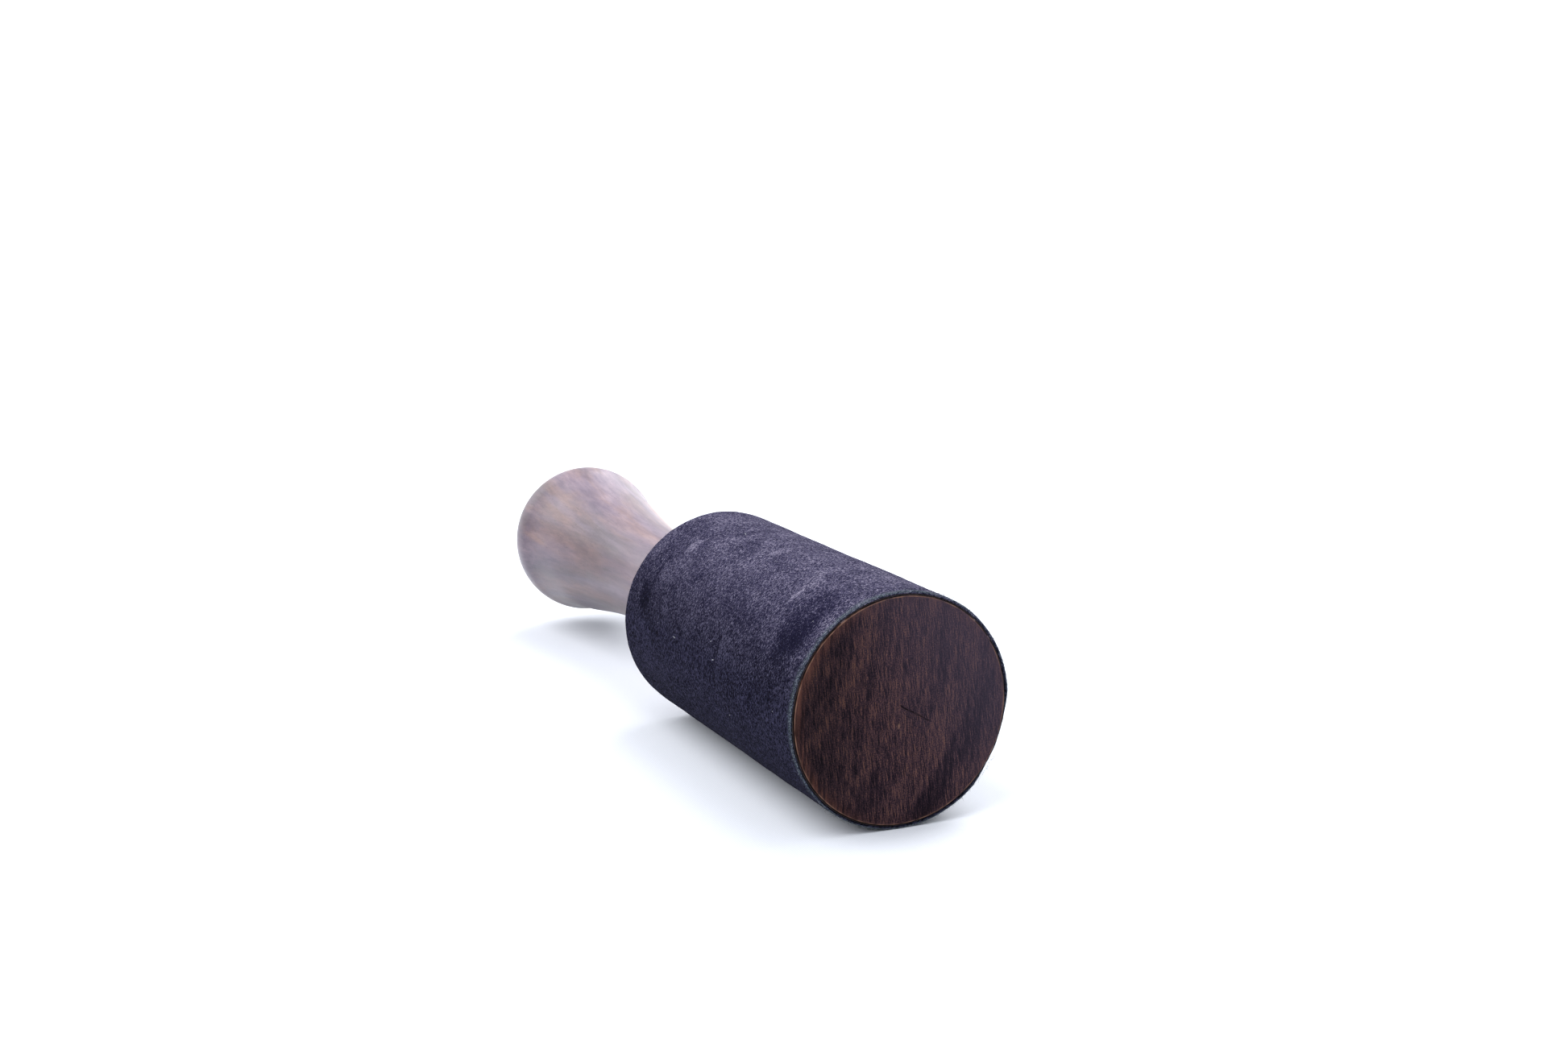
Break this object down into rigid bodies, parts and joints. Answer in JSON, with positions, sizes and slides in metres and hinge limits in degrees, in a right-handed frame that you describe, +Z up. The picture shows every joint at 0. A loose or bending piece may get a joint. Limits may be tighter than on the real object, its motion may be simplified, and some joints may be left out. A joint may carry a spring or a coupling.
{
  "type": "suede-wrapped wooden mallet",
  "caption": "Small turned hardwood mallet with a cylindrical head wrapped in suede, a bare flat end face, a waisted neck and a rounded knob.",
  "frame": {"origin": "under the middle of the mallet's length, on the surface that its head lies on", "axes": "+X along the mallet's axis towards the bare end face, +Z up, +Y across"},
  "size_m": [0.176, 0.042, 0.0419],
  "materials": {
    "hardwood": "sanded, thin oil",
    "suede": "matte nap",
    "contact_cement": "dull, dried"
  },
  "bodies": {
    "root": {"turned_body": "hardwood", "suede_wrap": "suede", "cement_film": "contact_cement"}
  },
  "joints": []
}
